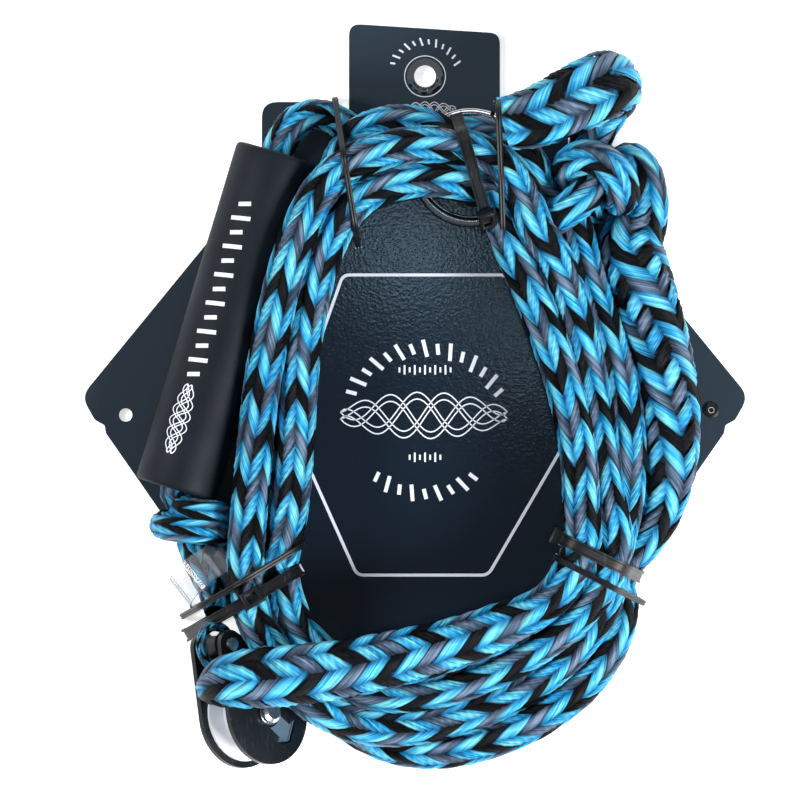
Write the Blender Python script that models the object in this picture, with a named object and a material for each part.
"""A boat tow harness on its display card.

A hollow-braid rope runs through a small block with a spinning sheave, is coiled, and is tied down to a
die-cut card.  A leader rope goes from the block through a foam float to a steel ring.  The card lies
flat: +X to its right, +Y to its hang hole, +Z out of its face.  The straps' back runs, under the card,
touch z = 0.
"""

import math

import bmesh
import bpy
import numpy as np
from mathutils import Matrix, Vector

MM = 0.001
GAP = 0.3  # mm between faces that touch on the real thing

# Card, mm
CARD_BACK = 1.5
CARD_THICK = 1.0
CARD_TOP = CARD_BACK + CARD_THICK
HANG_HOLE = (4.5, 143.3)
HANG_HOLE_R = 5.9
WING_HOLE_R = 3.0
LEFT_HOLE = (-130.1, -9.0)
RIGHT_HOLE = (133.3, -6.8)

# Float, mm
FLOAT_R = 18.7
FLOAT_BORE_R = 9.3
FLOAT_TOP = (-61.6, 108.5)
FLOAT_FOOT = (-107.1, -42.3)
FLOAT_EDGE = 1.6
FLOAT_Z = CARD_TOP + GAP + FLOAT_R

# Rope, mm
THICK_ROPE_R = 13.0
EYE_ROPE_R = 11.0
LEADER_R = 7.3
LEADER_LOW_R = 6.5

# Ring, mm
RING_CENTRE = (24.9, 102.2, 12.8)
RING_R = 24.3
RING_WIRE_R = 2.5
RING_EYE_R = 6.2
RING_EYE_ROPE_R = 2.8

# Block (pulley), mm: local Z along its axle, local Y towards its head
BLOCK_CENTRE = (-72.5, -142.7, 24.2)
AXLE_DIRECTION = (0.68, 0.12, 0.72)
HEAD_DIRECTION = (-0.45, 0.845, 0.285)
CHEEK_R = 23.5
HEAD_R = 6.5
HEAD_REACH = 36.0
CHEEK_THICK = 2.4
POCKET_DEPTH = 1.0
BOSS_R = 6.6
SHEAVE_WIDTH = 15.0
SHEAVE_R = 20.6
GROOVE_R = 12.0
AXLE_R = 3.0
BUSH_R = 5.0
WASHER_R = 6.0
WASHER_THICK = 0.8
NUT_R = 5.6
NUT_THICK = 3.0
SIDE_PLAY = 0.35  # between the sheave and what it spins beside and on
CHEEK_IN = SHEAVE_WIDTH / 2 + SIDE_PLAY
CHEEK_OUT = CHEEK_IN + CHEEK_THICK
HEAD_PIN_R = 1.7
HEAD_PIN_HEAD_R = 3.2
HEAD_PIN_HOLE_R = 2.0
SPOOL_R = 6.6
SPOOL_BORE_R = 2.4
BLOCK_EYE_R = 9.2
BLOCK_EYE_ROPE_R = 2.3

# Clear sleeve, mm
SLEEVE_MOUTH = (-98.6, -75.0, 18.6)
SLEEVE_FOOT = (-89.5, -86.6, 22.5)
SLEEVE_R = 14.0
SLEEVE_WALL = 0.9

# Straps and ties, mm
STRAP_WIDTH = 5.4
STRAP_THICK = 1.1
TIE_WIDTH = 2.2
HEAD_FLOOR = 0.9
HEAD_SIZE = (7.8, 6.5, 5.4)  # a strap's lock head: across, along and out of the strap
SLOT_MARGIN = 0.4
SLOT_CLEARANCE = 3.0  # what a slot keeps to the card's edge


def mm(*values):
    return Vector([v * MM for v in values])


# ---------------------------------------------------------------- materials

def material(name, color, roughness, metallic=0.0, alpha=1.0):
    made = bpy.data.materials.new(name)
    made.use_nodes = True
    shader = made.node_tree.nodes["Principled BSDF"]
    shader.inputs["Base Color"].default_value = (*color, 1.0)
    shader.inputs["Roughness"].default_value = roughness
    shader.inputs["Metallic"].default_value = metallic
    shader.inputs["Alpha"].default_value = alpha
    return made


CARD_NAVY = ((0.012, 0.022, 0.038), 0.3)
FOAM_BLACK = ((0.012, 0.016, 0.022), 0.65)
ROPE_BLUE = ((0.02, 0.42, 0.86), 0.4)
PLASTIC_BLACK = ((0.01, 0.01, 0.011), 0.38)
PLASTIC_WHITE = ((0.78, 0.8, 0.82), 0.35)
PLASTIC_CLEAR = ((0.85, 0.88, 0.9), 0.08)
STEEL = ((0.75, 0.76, 0.78), 0.12)


# ------------------------------------------------------------------ shaping

def add_object(name, mesh, finish, metallic=0.0, alpha=1.0):
    """Links a mesh as the named part, in its own material."""
    obj = bpy.data.objects.new(name, mesh)
    bpy.context.scene.collection.objects.link(obj)
    obj.data.materials.append(material(name + "_finish", *finish, metallic, alpha))
    return obj


def mesh_from(name, verts, faces):
    """A mesh in metres from points in mm, with its normals facing out."""
    mesh = bpy.data.meshes.new(name)
    mesh.from_pydata([mm(*v) for v in verts], [], faces)
    work = bmesh.new()
    work.from_mesh(mesh)
    bmesh.ops.recalc_face_normals(work, faces=work.faces)
    work.to_mesh(mesh)
    work.free()
    return mesh


def smooth_round(obj):
    obj.data.shade_smooth()
    obj.data.set_sharp_from_angle(angle=math.radians(35))
    return obj


def rounded_outline(corners, steps=5):
    """Rounds a closed outline: each corner is (x, y, radius)."""
    points = []
    count = len(corners)
    for i, (x, y, radius) in enumerate(corners):
        here = Vector((x, y))
        before = Vector(corners[i - 1][:2]) - here
        after = Vector(corners[(i + 1) % count][:2]) - here
        if radius <= 0:
            points.append(here)
            continue
        half = before.angle(after) / 2
        reach = min(radius / math.tan(half), 0.48 * before.length, 0.48 * after.length)
        start = here + before.normalized() * reach
        end = here + after.normalized() * reach
        for k in range(steps + 1):
            t = k / steps
            points.append((1 - t) ** 2 * start + 2 * t * (1 - t) * here + t ** 2 * end)
    return [(p.x, p.y) for p in points]


def extruded(name, outline, low, high):
    """A flat plate of this outline between two heights."""
    count = len(outline)
    verts = [(x, y, low) for x, y in outline] + [(x, y, high) for x, y in outline]
    faces = [tuple(range(count)), tuple(range(count, 2 * count))]
    faces += [(i, (i + 1) % count, count + (i + 1) % count, count + i) for i in range(count)]
    return mesh_from(name, verts, faces)


def circle(x, y, radius, count=28):
    return [(x + radius * math.cos(2 * math.pi * k / count),
             y + radius * math.sin(2 * math.pi * k / count)) for k in range(count)]


def turned(name, profile, count=40):
    """A closed profile of (radius, height) points spun about Z."""
    verts = []
    for k in range(count):
        a = 2 * math.pi * k / count
        verts += [(r * math.cos(a), r * math.sin(a), z) for r, z in profile]
    n = len(profile)
    faces = []
    for k in range(count):
        here, there = k * n, ((k + 1) % count) * n
        faces += [(here + i, there + i, there + (i + 1) % n, here + (i + 1) % n) for i in range(n)]
    return mesh_from(name, verts, faces)


def turned_solid(name, profile, count=40):
    """A profile of (radius, height) points spun about Z, closed by flat discs at its two ends."""
    verts = []
    for k in range(count):
        a = 2 * math.pi * k / count
        verts += [(r * math.cos(a), r * math.sin(a), z) for r, z in profile]
    n = len(profile)
    faces = []
    for k in range(count):
        here, there = k * n, ((k + 1) % count) * n
        faces += [(here + i, there + i, there + i + 1, here + i + 1) for i in range(n - 1)]
    faces.append(tuple(k * n for k in range(count)))
    faces.append(tuple(k * n + n - 1 for k in range(count)))
    return mesh_from(name, verts, faces)


def swept_loop(name, frames, section):
    """A closed bar: the section's (side, out) points carried round a ring of frames."""
    verts = []
    for centre, side, out in frames:
        verts += [centre + side * s + out * o for s, o in section]
    n, m = len(section), len(frames)
    faces = []
    for k in range(m):
        here, there = k * n, ((k + 1) % m) * n
        faces += [(here + i, there + i, there + (i + 1) % n, here + (i + 1) % n) for i in range(n)]
    return mesh_from(name, [tuple(v) for v in verts], faces)


def cut(obj, mesh, name):
    """Cuts a hidden cutter's shape out of a part."""
    cutter = bpy.data.objects.new(name, mesh)
    bpy.context.scene.collection.objects.link(cutter)
    cutter.hide_render = True
    cutter.display_type = "WIRE"
    step = obj.modifiers.new(name, "BOOLEAN")
    step.operation = "DIFFERENCE"
    step.object = cutter
    return cutter


def catmull_rom(points, spacing, closed=False):
    """Points read every `spacing` mm from a smooth curve through the route's own points."""
    pts = [Vector(p) for p in points]
    count = len(pts)
    if closed:
        spans = [(pts[i - 1], pts[i], pts[(i + 1) % count], pts[(i + 2) % count]) for i in range(count)]
    else:
        ends = [2 * pts[0] - pts[1]] + pts + [2 * pts[-1] - pts[-2]]
        spans = [tuple(ends[i:i + 4]) for i in range(count - 1)]
    fine = []
    for a, b, c, d in spans:
        for k in range(24):
            t = k / 24
            fine.append(0.5 * (2 * b + (c - a) * t + (2 * a - 5 * b + 4 * c - d) * t ** 2
                               + (3 * b - a - 3 * c + d) * t ** 3))
    fine.append(fine[0].copy() if closed else pts[-1])
    travelled = np.concatenate([[0.0], np.cumsum([(q - p).length for p, q in zip(fine, fine[1:])])])
    steps = max(2, round(travelled[-1] / spacing))
    wanted = np.linspace(0.0, travelled[-1], steps + 1)
    axes = [np.interp(wanted, travelled, [p[i] for p in fine]) for i in range(len(fine[0]))]
    read = [Vector(p) for p in zip(*axes)]
    return read[:-1] if closed else read


def rope_tube(name, route, radius, spacing=None):
    """A plain tube for a stretch of rope, along a smooth curve through the route."""
    points = catmull_rom(route, spacing or 2.2 * radius)
    curve = bpy.data.curves.new(name, "CURVE")
    curve.dimensions = "3D"
    curve.bevel_depth = radius * MM
    curve.bevel_resolution = 2
    curve.use_fill_caps = True
    spline = curve.splines.new("POLY")
    spline.points.add(len(points) - 1)
    for slot, point in zip(spline.points, points):
        slot.co = (*mm(*point), 1.0)
    return add_object(name, curve, ROPE_BLUE)


# --------------------------------------------------------------------- card

WING_SIDE = [  # the left half from the foot up, (x, y, corner radius)
    (-64.4, -124.7, 6), (-139.0, -17.2, 1.5), (-139.6, -13.6, 1.5), (-144.0, -11.2, 3),
    (-150.0, -0.6, 8), (-68.9, 98.5, 0), (-68.9, 131.8, 7), (-45.5, 131.8, 1), (-41.2, 128.2, 0.5),
]
HEADER = [(-29.7, 128.2, 0), (-29.7, 167.0, 5), (38.2, 162.7, 5), (38.2, 128.2, 0)]


def make_card():
    right = [(-x, y, r) for x, y, r in reversed(WING_SIDE)]
    outline = rounded_outline(WING_SIDE + HEADER + right)
    card = add_object("display_card", extruded("display_card", outline, CARD_BACK, CARD_TOP), CARD_NAVY)
    low, high = CARD_BACK - 3, CARD_TOP + 3
    cut(card, extruded("hang_cut", circle(*HANG_HOLE, HANG_HOLE_R), low, high), "hang_cut")
    cut(card, extruded("left_cut", circle(*LEFT_HOLE, WING_HOLE_R), low, high), "left_cut")
    cut(card, extruded("right_cut", circle(*RIGHT_HOLE, WING_HOLE_R), low, high), "right_cut")
    for name, start, end, width in strap_feet():
        for k, (x, y) in enumerate((start, end)):
            foot = strap_slot(x, y, Vector(end) - Vector(start), width)
            if on_card(x, y):
                cut(card, extruded(f"{name}_slot_{k}", foot, low, high), f"{name}_slot_{k}")
    return card


def on_card(x, y):
    """Whether a foot lands on the card's body and not past its sloping lower edge."""
    (foot_x, foot_y), (side_x, side_y) = WING_SIDE[0][:2], WING_SIDE[1][:2]
    slope = (side_x - foot_x) / (side_y - foot_y)
    return y > side_y or abs(x) < -foot_x - slope * (y - foot_y) - SLOT_CLEARANCE


def strap_slot(x, y, along, width):
    """A slot round one foot of a strap or tie."""
    along = along.normalized()
    across = Vector((-along.y, along.x))
    half_width = width / 2 + SLOT_MARGIN
    half_thick = STRAP_THICK / 2 + SLOT_MARGIN
    centre = Vector((x, y))
    return [tuple(centre + across * half_width * i + along * half_thick * j)
            for i, j in ((-1, -1), (1, -1), (1, 1), (-1, 1))]


def make_eyelet():
    x, y = HANG_HOLE
    bore, wall, washer_r = 4.8, 0.5, 7.9
    flange = [(bore, 0.6), (bore + wall, 0.6), (bore + wall, CARD_TOP + GAP), (8.0, CARD_TOP + GAP),
              (8.1, CARD_TOP + 0.6), (7.2, CARD_TOP + 1.3), (6.2, CARD_TOP + 1.1), (5.6, CARD_TOP + 1.6),
              (bore + 0.1, CARD_TOP + 1.5)]
    barrel = smooth_round(add_object("hang_eyelet", turned("hang_eyelet", flange, 28), STEEL, 1.0))
    barrel.location = mm(x, y, 0)
    inner, low, high = bore + wall + GAP, 0.5, CARD_BACK - GAP
    ring = [(inner, low), (washer_r, low), (washer_r, high), (inner, high)]
    washer = smooth_round(add_object("eyelet_washer", turned("eyelet_washer", ring, 28), STEEL, 1.0))
    washer.location = mm(x, y, 0)


def make_rivet():
    x, y = RIGHT_HOLE
    body = [(1.4, 0.5), (2.5, 0.5), (2.7, CARD_TOP + GAP), (3.7, CARD_TOP + GAP), (3.6, CARD_TOP + 0.8),
            (2.6, CARD_TOP + 1.1), (1.4, CARD_TOP + 1.1)]
    rivet = smooth_round(add_object("card_rivet", turned("card_rivet", body, 24), PLASTIC_BLACK))
    rivet.location = mm(x, y, 0)
    pin = turned_solid("card_rivet_pin", [(1.1, 0.6), (1.1, CARD_TOP + 0.5)], 20)
    smooth_round(add_object("card_rivet_pin", pin, PLASTIC_BLACK)).location = mm(x, y, 0)


# -------------------------------------------------------------------- float

def float_matrix():
    """Carries a part turned about Z onto the float's sloping axis, its foot at z = 0."""
    foot = Vector((*FLOAT_FOOT, FLOAT_Z))
    top = Vector((*FLOAT_TOP, FLOAT_Z))
    turn = (top - foot).to_track_quat("Z", "X").to_matrix().to_4x4()
    return Matrix.Translation(foot * MM) @ turn, (top - foot).length


def make_float():
    place, length = float_matrix()
    edge = FLOAT_EDGE
    profile = [(FLOAT_BORE_R, 0.8), (FLOAT_BORE_R + 0.8, 0), (FLOAT_R - edge, 0), (FLOAT_R - 0.4, 0.5),
               (FLOAT_R, edge), (FLOAT_R, length - edge), (FLOAT_R - 0.4, length - 0.5),
               (FLOAT_R - edge, length), (FLOAT_BORE_R + 0.8, length), (FLOAT_BORE_R, length - 0.8)]
    body = smooth_round(add_object("foam_float", turned("foam_float", profile, 36), FOAM_BLACK))
    body.matrix_world = place


# -------------------------------------------------------------------- block

def block_axes():
    """The block's own axes in the world: Z along the axle and Y towards the head."""
    axle = Vector(AXLE_DIRECTION).normalized()
    head = Vector(HEAD_DIRECTION)
    head = (head - axle * head.dot(axle)).normalized()
    return Matrix((head.cross(axle), head, axle)).transposed()


def block_frame():
    """An empty at the sheave's centre, for the block's parts to sit in."""
    frame = bpy.data.objects.new("block_frame", None)
    bpy.context.scene.collection.objects.link(frame)
    frame.matrix_world = Matrix.Translation(mm(*BLOCK_CENTRE)) @ block_axes().to_4x4()
    return frame


def cheek_outline():
    """A teardrop: the wide disc round the sheave and the small one at the head, with straight sides."""
    lean = math.asin((CHEEK_R - HEAD_R) / HEAD_REACH)
    points = []
    for k in range(33):
        a = math.pi - lean + (math.pi + 2 * lean) * k / 32
        points.append((CHEEK_R * math.cos(a), CHEEK_R * math.sin(a)))
    for k in range(13):
        a = lean + (math.pi - 2 * lean) * k / 12
        points.append((HEAD_R * math.cos(a), HEAD_REACH + HEAD_R * math.sin(a)))
    return points


def pocket_outline():
    """A wedge below the axle, whose upper side follows the boss round the axle's washer."""
    arc = [math.radians(a) for a in range(-125, -30, 12)]
    return [(BOSS_R * math.cos(a), BOSS_R * math.sin(a)) for a in arc] + rounded_outline(
        [(14.2, -10.2, 2), (2.6, -18.2, 2), (-5.7, -13.7, 2)], 3)


def make_cheek(name, frame, inner, sign):
    """One cheek plate, from `inner` outwards along the axle: axle hole, pin hole and a shallow pocket."""
    low, high = sorted((inner * sign, (inner + CHEEK_THICK) * sign))
    cheek = add_object(name, extruded(name, cheek_outline(), low, high), PLASTIC_BLACK)
    cheek.parent = frame
    bolt, pin = circle(0, 0, AXLE_R + 0.25), circle(0, HEAD_REACH, HEAD_PIN_HOLE_R, 20)
    for part, outline in (("bolt", bolt), ("pin", pin)):
        cutter = cut(cheek, extruded(f"{name}_{part}", outline, low - 2, high + 2), f"{name}_{part}")
        cutter.parent = frame
    outer = inner + CHEEK_THICK
    floor, above = sorted(((outer - POCKET_DEPTH) * sign, (outer + 1) * sign))
    pocket = cut(cheek, extruded(f"{name}_pocket", pocket_outline(), floor, above), f"{name}_pocket")
    pocket.parent = frame


def round_groove(width, edge, outer, depth, steps=6):
    """The (radius, height) points of a round-bottomed groove between two flat edges."""
    inner = width - 2 * edge
    points = []
    for k in range(steps + 1):
        z = inner * (k / steps - 0.5)
        points.append((outer - depth * math.sqrt(max(1 - (2 * z / inner) ** 2, 0)), z))
    return points


def make_sheave():
    half, bore = SHEAVE_WIDTH / 2, BUSH_R + SIDE_PLAY
    groove = [(SHEAVE_R, -half), *round_groove(SHEAVE_WIDTH, 1.2, SHEAVE_R, SHEAVE_R - GROOVE_R),
              (SHEAVE_R, half), (bore, half), (bore, -half)]
    sheave = smooth_round(add_object("block_sheave", turned("block_sheave", groove, 36), PLASTIC_WHITE))
    ring = [(AXLE_R + GAP, -half), (BUSH_R, -half), (BUSH_R, half), (AXLE_R + GAP, half)]
    bush = smooth_round(add_object("block_bush", turned("block_bush", ring, 28), STEEL, 1.0))
    return [sheave, bush]


def make_axle():
    """The bolt, its nut and the two washers; the washers lie against the cheeks."""
    ring = [(AXLE_R + GAP, 0), (WASHER_R, 0), (WASHER_R, WASHER_THICK), (AXLE_R + GAP, WASHER_THICK)]
    parts = []
    front, back = CHEEK_OUT + GAP, -CHEEK_OUT - GAP - WASHER_THICK
    for name, z in (("axle_washer_front", front), ("axle_washer_back", back)):
        washer = smooth_round(add_object(name, turned(name, ring, 28), STEEL, 1.0))
        washer.location = mm(0, 0, z)
        parts.append(washer)
    under_head = CHEEK_OUT + WASHER_THICK + 2 * GAP
    profile = [(AXLE_R, -under_head - NUT_THICK - 0.6), (AXLE_R, under_head), (5.4, under_head),
               (5.2, under_head + 1.4), (3.6, under_head + 2.4)]
    parts.append(smooth_round(add_object("axle_bolt", turned_solid("axle_bolt", profile, 28), STEEL, 1.0)))
    hexagon = circle(0, 0, NUT_R, 6)
    low, high = -under_head - NUT_THICK, -under_head
    nut = add_object("axle_nut", extruded("axle_nut", hexagon, low, high), STEEL, 1.0)
    bore = cut(nut, extruded("nut_bore", circle(0, 0, AXLE_R + 0.2), low - 2, high + 2), "nut_bore")
    return [*parts, nut, bore]


def make_head_fittings():
    """The spool that the leader's eye goes round, and the riveted pin through it."""
    half = SHEAVE_WIDTH / 2 - 0.1
    profile = [(SPOOL_BORE_R, -half), *round_groove(2 * half, 1.0, SPOOL_R, 1.8), (SPOOL_BORE_R, half)]
    spool = smooth_round(add_object("head_spool", turned("head_spool", profile, 28), PLASTIC_BLACK))
    reach = CHEEK_OUT + GAP
    profile = [(HEAD_PIN_HEAD_R, -reach - 1.0), (HEAD_PIN_HEAD_R, -reach), (HEAD_PIN_R, -reach),
               (HEAD_PIN_R, reach), (HEAD_PIN_HEAD_R, reach), (HEAD_PIN_HEAD_R - 0.2, reach + 1.0)]
    pin = smooth_round(add_object("head_pin", turned_solid("head_pin", profile, 24), STEEL, 1.0))
    for part in (spool, pin):
        part.location = mm(0, HEAD_REACH, 0)
    return [spool, pin]


def make_block():
    frame = block_frame()
    make_cheek("block_cheek_front", frame, CHEEK_IN, 1)
    make_cheek("block_cheek_back", frame, CHEEK_IN, -1)
    for part in make_sheave() + make_axle() + make_head_fittings():
        part.parent = frame
    make_block_eye(frame)


# --------------------------------------------------------- ring and sleeve

def torus(name, ring_r, bar_r, around=40, sides=10):
    profile = [(ring_r + bar_r * math.cos(2 * math.pi * k / sides),
                bar_r * math.sin(2 * math.pi * k / sides)) for k in range(sides)]
    return turned(name, profile, around)


def make_ring():
    """The ring, and the small rope eyes that hold it on its left and right."""
    ring = smooth_round(add_object("steel_ring", torus("steel_ring", RING_R, RING_WIRE_R, 40), STEEL, 1.0))
    ring.location = mm(*RING_CENTRE)
    x, y, z = RING_CENTRE
    for name, side in (("leader_ring_eye", -1), ("harness_ring_eye", 1)):
        eye = add_object(name, torus(name, RING_EYE_R, RING_EYE_ROPE_R, 20, 8), ROPE_BLUE)
        smooth_round(eye).location = mm(x + side * RING_R, y, z)
        eye.rotation_euler = (math.pi / 2, 0, 0)


def make_sleeve():
    mouth, foot = Vector(SLEEVE_MOUTH), Vector(SLEEVE_FOOT)
    length = (mouth - foot).length
    wall = [(SLEEVE_R - SLEEVE_WALL, 0), (SLEEVE_R, 0), (SLEEVE_R, length), (SLEEVE_R - SLEEVE_WALL, length)]
    mesh = turned("clear_sleeve", wall, 36)
    sleeve = smooth_round(add_object("clear_sleeve", mesh, PLASTIC_CLEAR, 0.0, 0.3))
    turn = (mouth - foot).to_track_quat("Z", "X").to_matrix().to_4x4()
    sleeve.matrix_world = Matrix.Translation(foot * MM) @ turn


# -------------------------------------------------------------------- ropes

COIL_STATIONS = [  # clockwise from the top: x, y, half width, low, high
    (-6.8, 110.5, 16.5, 23.0, 46.0), (22.0, 104.4, 14.5, 23.0, 46.0), (45.0, 94.0, 11.0, 23.0, 46.0),
    (58.0, 76.0, 11.5, 14.0, 46.0), (66.5, 55.0, 13.5, 5.0, 46.0), (79.5, 0.9, 18.5, 4.0, 48.0),
    (86.0, -42.8, 16.0, 4.0, 49.0), (83.0, -73.4, 14.5, 4.0, 49.0), (73.4, -102.2, 20.0, 4.0, 48.0),
    (41.9, -126.5, 28.0, 4.0, 46.0), (10.0, -135.2, 29.0, 4.0, 36.0), (-15.0, -133.0, 22.0, 10.0, 28.0),
    (-38.0, -119.0, 11.0, 19.5, 30.0), (-54.0, -102.0, 9.0, 19.5, 36.0), (-64.0, -84.0, 8.5, 18.0, 42.0),
    (-63.5, -66.0, 10.0, 14.0, 45.0), (-61.0, -38.2, 13.0, 12.0, 46.0), (-57.5, -2.2, 13.0, 12.0, 46.0),
    (-51.5, 28.0, 12.5, 16.0, 46.0), (-44.6, 56.2, 11.5, 22.0, 46.0), (-39.0, 74.5, 11.5, 23.0, 46.0),
    (-27.0, 95.0, 14.0, 23.0, 46.0),
]


def make_coil():
    """The outer shape of the wound turns: a rounded box section carried round the oval."""
    rings = catmull_rom(COIL_STATIONS, 12.0, closed=True)
    frames, sizes = [], []
    count = len(rings)
    for i, ring in enumerate(rings):
        x, y, half, low, high = ring
        nxt, back = rings[(i + 1) % count], rings[i - 1]
        along = Vector((nxt[0] - back[0], nxt[1] - back[1], 0)).normalized()
        side = Vector((along.y, -along.x, 0))
        frames.append((Vector((x, y, (low + high) / 2)), side))
        sizes.append((half, (high - low) / 2))
    section = [(math.cos(math.pi * (k + 0.5) / 6), math.sin(math.pi * (k + 0.5) / 6)) for k in range(12)]
    verts = []
    for (centre, side), (half, tall) in zip(frames, sizes):
        for c, s in section:
            across = half * math.copysign(abs(c) ** 0.6, c)
            up = tall * math.copysign(abs(s) ** 0.6, s)
            verts.append(tuple(centre + side * across + Vector((0, 0, up))))
    n = len(section)
    faces = []
    for k in range(count):
        here, there = k * n, ((k + 1) % count) * n
        faces += [(here + i, there + i, there + (i + 1) % n, here + (i + 1) % n) for i in range(n)]
    return add_object("rope_coil", mesh_from("rope_coil", verts, faces), ROPE_BLUE)


THICK_END_ROUTE = [(98.6, 65.5, 17.5), (105.5, 40.5, 16.5), (115.2, 14.0, 16.2), (118.2, -12.6, 16.2),
                   (117.0, -33.8, 16.5)]
EYE_ROUTE = [(58.5, 127.0, 40.0), (80.0, 134.5, 41.0), (96.0, 139.5, 38.0), (101.5, 141.0, 28.0),
             (96.0, 139.5, 18.0), (84.0, 134.0, 15.5)]
BIGHT_R = 5.2
BIGHT_START = [(-14.0, -127.5, 34.5), (-32.0, -128.5, 39.0), (-50.0, -129.0, 43.5)]
BIGHT_IN_BLOCK = [(0.5, 21.5, 20.5), (-9.0, 20.5, 17.8), (-19.0, 20.0, 16.6), (-25.4, 19.8, 12.5),
                  (-26.0, 19.6, 6.0), (-20.5, 19.3, 1.2), (-10.0, 18.9, 0.0), (0.0, 18.3, 0.0),
                  (9.2, 15.9, 0.0), (15.9, 9.2, 0.0), (22.6, 1.4, 0.8)]  # in the block's own axes
BIGHT_END = [(-51.5, -119.0, 10.0), (-41.0, -115.0, 10.0)]
KNOT_CENTRE = (86.0, 94.5, 24.0)
KNOT_SIZE = (22.0, 21.0, 20.0)
WRAP_CENTRE = (-100.5, -56.4, 21.8)
WRAP_R = 18.0
WRAP_LENGTH = 15.0


def make_knot():
    """The outer shape of the stopper knot, a little flatter at its poles than a ball."""
    arcs = [math.pi * k / 12 for k in range(1, 12)]
    profile = [(math.sin(a) ** 0.8, -math.cos(a)) for a in arcs]
    knot = smooth_round(add_object("stopper_knot", turned_solid("stopper_knot", profile, 24), ROPE_BLUE))
    knot.matrix_world = Matrix.Translation(mm(*KNOT_CENTRE)) @ Matrix.Diagonal((*KNOT_SIZE, 1))


def make_wraps():
    """The outer shape of the turns that stop the float from sliding off its leader."""
    half = WRAP_LENGTH / 2
    profile = [(WRAP_R - 4, -half), (WRAP_R - 1, -half + 2), (WRAP_R, -4), (WRAP_R - 1.2, 0), (WRAP_R, 4),
               (WRAP_R - 1, half - 2), (WRAP_R - 4, half)]
    wraps = smooth_round(add_object("leader_wraps", turned_solid("leader_wraps", profile, 28), ROPE_BLUE))
    wraps.location = mm(*WRAP_CENTRE)
    wraps.rotation_euler = (math.pi / 2, 0, 0)


def make_leader():
    """The leader in three stretches: block to wraps, wraps to float, and float to ring."""
    x, y, z = WRAP_CENTRE
    foot_y = y - WRAP_LENGTH / 2 - 3
    low_route = [(-89.1, -99.0, 28.5), (-89.6, -92.0, 25.0), (-92.5, -83.5, 21.5), (-97.0, -76.0, 19.8),
                 (x - 0.5, foot_y - 7, z - 0.5), (x, foot_y, z)]
    rope_tube("leader_lower", low_route, LEADER_LOW_R)
    foot, top = Vector((*FLOAT_FOOT, FLOAT_Z)), Vector((*FLOAT_TOP, FLOAT_Z))
    along = (top - foot).normalized()
    top_route = [foot + along * 2, foot + along * 40, top - along * 40, top, (-58.0, 118.5, 20.5),
                 (-49.5, 124.5, 17.0), (-38.0, 123.0, 14.3), (-22.0, 113.5, 13.2), (-9.6, 103.4, 12.8)]
    rope_tube("leader_upper", top_route, LEADER_R)


def make_block_eye(frame):
    """The leader's spliced eye, round the spool at the block's head."""
    ring = torus("leader_block_eye", BLOCK_EYE_R, BLOCK_EYE_ROPE_R, 24, 8)
    eye = add_object("leader_block_eye", ring, ROPE_BLUE)
    smooth_round(eye).location = mm(0, HEAD_REACH, 0)
    eye.parent = frame


def make_ropes():
    make_coil()
    rope_tube("harness_thick_end", THICK_END_ROUTE, THICK_ROPE_R)
    rope_tube("spliced_eye", EYE_ROUTE, EYE_ROPE_R)
    in_block = [tuple(Vector(BLOCK_CENTRE) + block_axes() @ Vector(point)) for point in BIGHT_IN_BLOCK]
    rope_tube("block_bight", BIGHT_START + in_block + BIGHT_END, BIGHT_R)
    make_knot()
    make_wraps()
    make_leader()


# --------------------------------------------------------------------- ties

STRAPS = [  # name, foot, foot, top height, how far the feet stand inside the shoulders
    ("top", (18.7, 124.6), (31.1, 81.8), 47.6, 4.5),
    ("left", (-103.0, -108.0), (-51.5, -78.0), 49.0, 0.0),
    ("right", (66.0, -64.5), (101.0, -81.5), 50.6, 0.0),
]
TIES = [
    ("top_left", (-36.0, 133.0), (-25.5, 67.0), 48.0, 0.0),
    ("top_right", (36.9, 131.5), (39.0, 74.0), 48.0, 0.0),
    ("bottom_left", (-104.5, -99.5), (-51.0, -67.5), 47.0, 0.0),
    ("bottom_right", (63.5, -73.0), (100.0, -92.0), 50.2, 0.0),
]
FLARE_HEIGHT = 17.5
FLARE_RISE = 7.0
SHOULDER_R = 15.0
FLARED_SHOULDER_R = 10.0
FLARE_R = 3.0
SIDE_HEAD_HEIGHT = 32.0


def strap_feet():
    """Every strap's and tie's two feet, where it goes through the card, and its width."""
    feet = []
    for width, rows in ((STRAP_WIDTH, STRAPS), (TIE_WIDTH, TIES)):
        for name, start, end, top, inset in rows:
            a, b = Vector(start), Vector(end)
            step = (b - a).normalized() * inset
            feet.append((f"{name}_{round(width)}", tuple(a + step), tuple(b - step), width))
    return feet


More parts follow.
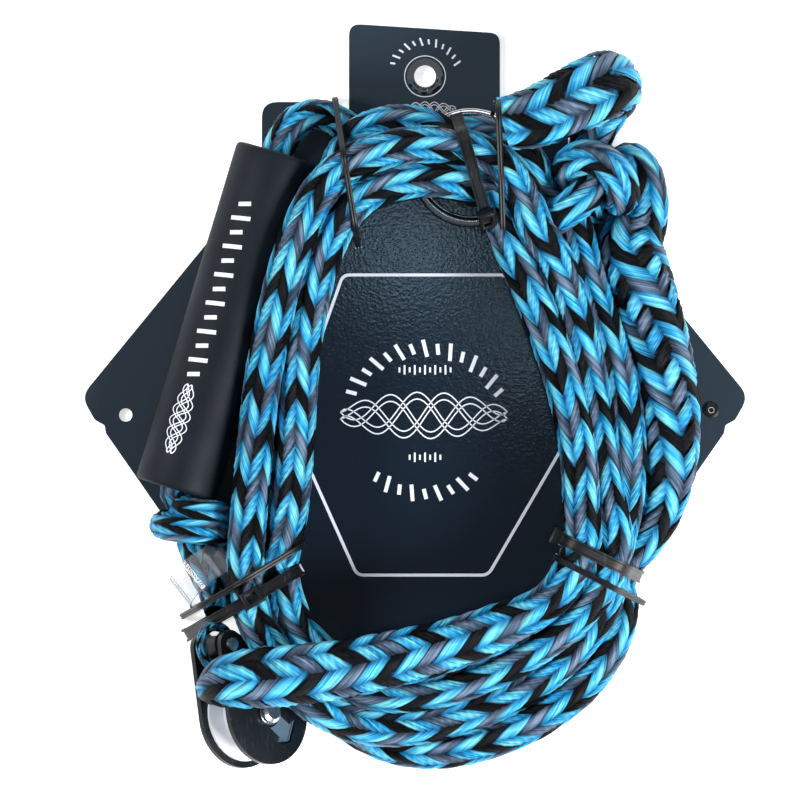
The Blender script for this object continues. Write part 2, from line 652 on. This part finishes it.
def loop_frames(start, end, top, inset):
    """Frames round a tall loop with rounded shoulders, standing in the plane of its two feet."""
    a, b = Vector((*start, 0)), Vector((*end, 0))
    along = (b - a).normalized()
    width = (b - a).length
    low = STRAP_THICK / 2
    feet = [(inset, low, 1.0), (width - inset, low, 1.0)]
    corners = feet + [(width, top, SHOULDER_R), (0, top, SHOULDER_R)]
    if inset:
        flare_top = FLARE_HEIGHT + FLARE_RISE
        corners = feet + [(width - inset, FLARE_HEIGHT, FLARE_R), (width, flare_top, FLARE_R),
                          (width, top, FLARED_SHOULDER_R), (0, top, FLARED_SHOULDER_R),
                          (0, flare_top, FLARE_R), (inset, FLARE_HEIGHT, FLARE_R)]
    outline = rounded_outline(corners, 6)
    centre = Vector((width / 2, (low + top) / 2))
    across = along.cross(Vector((0, 0, 1)))
    frames = []
    for i, (u, z) in enumerate(outline):
        ahead, behind = outline[(i + 1) % len(outline)], outline[i - 1]
        tangent = Vector((ahead[0] - behind[0], ahead[1] - behind[1])).normalized()
        normal = Vector((tangent.y, -tangent.x))
        if normal.dot(Vector((u, z)) - centre) < 0:
            normal = -normal
        out = along * normal.x + Vector((0, 0, 1)) * normal.y
        frames.append((a + along * u + Vector((0, 0, z)), across, out))
    return frames


def make_loop(name, frames, width):
    half, deep = width / 2, STRAP_THICK / 2
    section = [(-half, -deep), (half, -deep), (half, deep), (-half, deep)]
    return add_object(name, swept_loop(name, frames, section), PLASTIC_BLACK)


def make_head(name, centre, run, out):
    """A strap's lock head: a block with a channel that the strap runs through."""
    across, along, depth = HEAD_SIZE
    low = -STRAP_THICK / 2 - GAP - HEAD_FLOOR
    outer = [(-across / 2, low), (across / 2, low), (across / 2, low + depth), (-across / 2, low + depth)]
    half, deep = STRAP_WIDTH / 2 + GAP, STRAP_THICK / 2 + GAP
    channel = [(-half, -deep), (half, -deep), (half, deep), (-half, deep)]
    head = add_object(name, extruded(name, outer, -along / 2, along / 2), PLASTIC_BLACK)
    cutter = cut(head, extruded(name + "_channel", channel, -along, along), name + "_channel")
    axes = Matrix((out.cross(run), out, run)).transposed().to_4x4()
    for part in (head, cutter):
        part.matrix_world = Matrix.Translation(centre * MM) @ axes


def make_ties():
    for name, start, end, top, inset in STRAPS:
        make_loop(f"strap_{name}", loop_frames(start, end, top, inset), STRAP_WIDTH)
        a, b = Vector((*start, SIDE_HEAD_HEIGHT)), Vector((*end, SIDE_HEAD_HEIGHT))
        along = (b - a).normalized()
        up = Vector((0, 0, 1))
        if name == "left":
            middle = a.lerp(b, 0.55)
            make_head("strap_left_head", Vector((middle.x, middle.y, top)), along, up)
        elif name == "right":
            make_head("strap_right_head", a, up, -along)
        else:
            make_head("strap_top_head", b, up, along)
    for name, start, end, top, inset in TIES:
        make_loop(f"tie_{name}", loop_frames(start, end, top, inset), TIE_WIDTH)


def main():
    for obj in list(bpy.data.objects):
        bpy.data.objects.remove(obj, do_unlink=True)
    make_card()
    make_eyelet()
    make_rivet()
    make_float()
    make_block()
    make_ring()
    make_sleeve()
    make_ropes()
    make_ties()


main()
